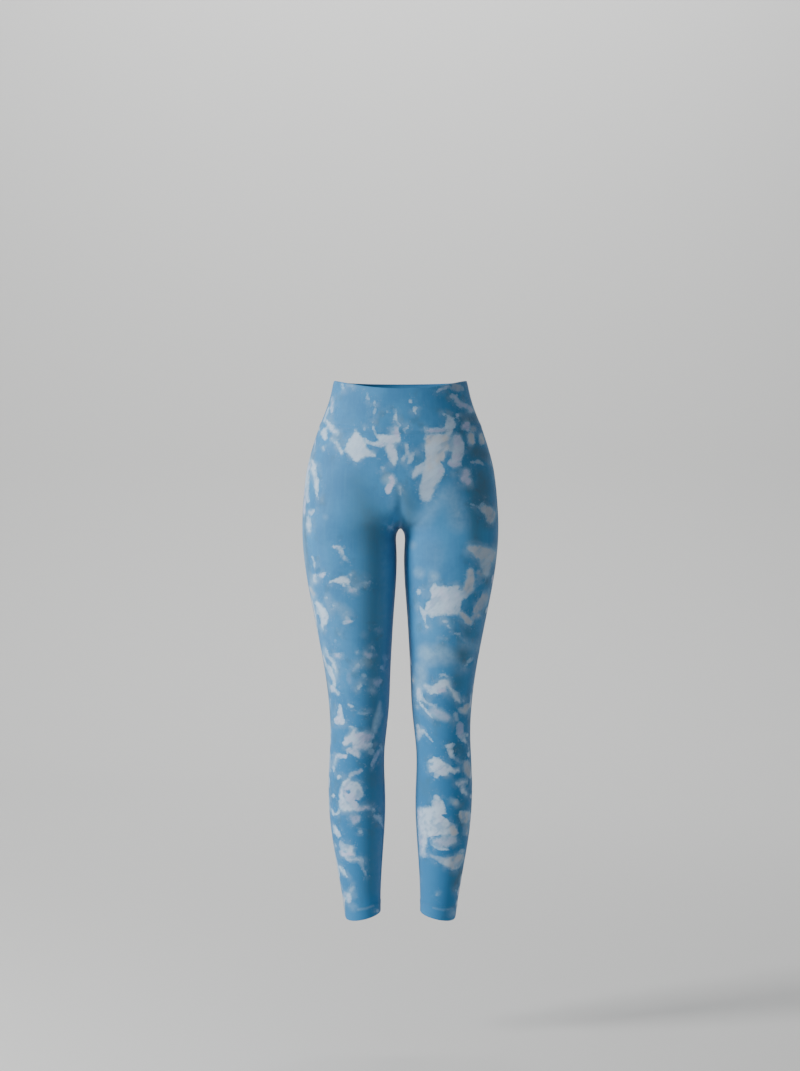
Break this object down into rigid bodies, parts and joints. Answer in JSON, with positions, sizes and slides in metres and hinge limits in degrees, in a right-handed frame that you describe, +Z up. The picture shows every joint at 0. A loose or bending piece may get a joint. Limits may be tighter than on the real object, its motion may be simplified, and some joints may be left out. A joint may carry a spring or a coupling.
{
  "type": "leggings",
  "caption": "Full-length, high-waisted stretch leggings in a hollow worn form, tie-dyed in blue and white, with a wide double waistband and open ankle hems.",
  "frame": {"origin": "the middle of the waist opening, level with the waistband's top edge at the side seams, where the wearer holds the garment up", "axes": "+Z up along the wearer's body, -Y towards the front of the garment, +X towards the wearer's left leg"},
  "size_m": [0.348, 0.2155, 0.9528],
  "materials": {
    "waistband": "double layer of matte stretch knit, tie-dyed blue with white patches, soft sheen",
    "body_cloth": "matte stretch knit, tie-dyed blue with blurred white and grey-white patches, soft sheen"
  },
  "bodies": {
    "root": {"waistband_front": "waistband", "waistband_back": "waistband", "front": "body_cloth", "back_left": "body_cloth", "back_right": "body_cloth"}
  },
  "joints": []
}
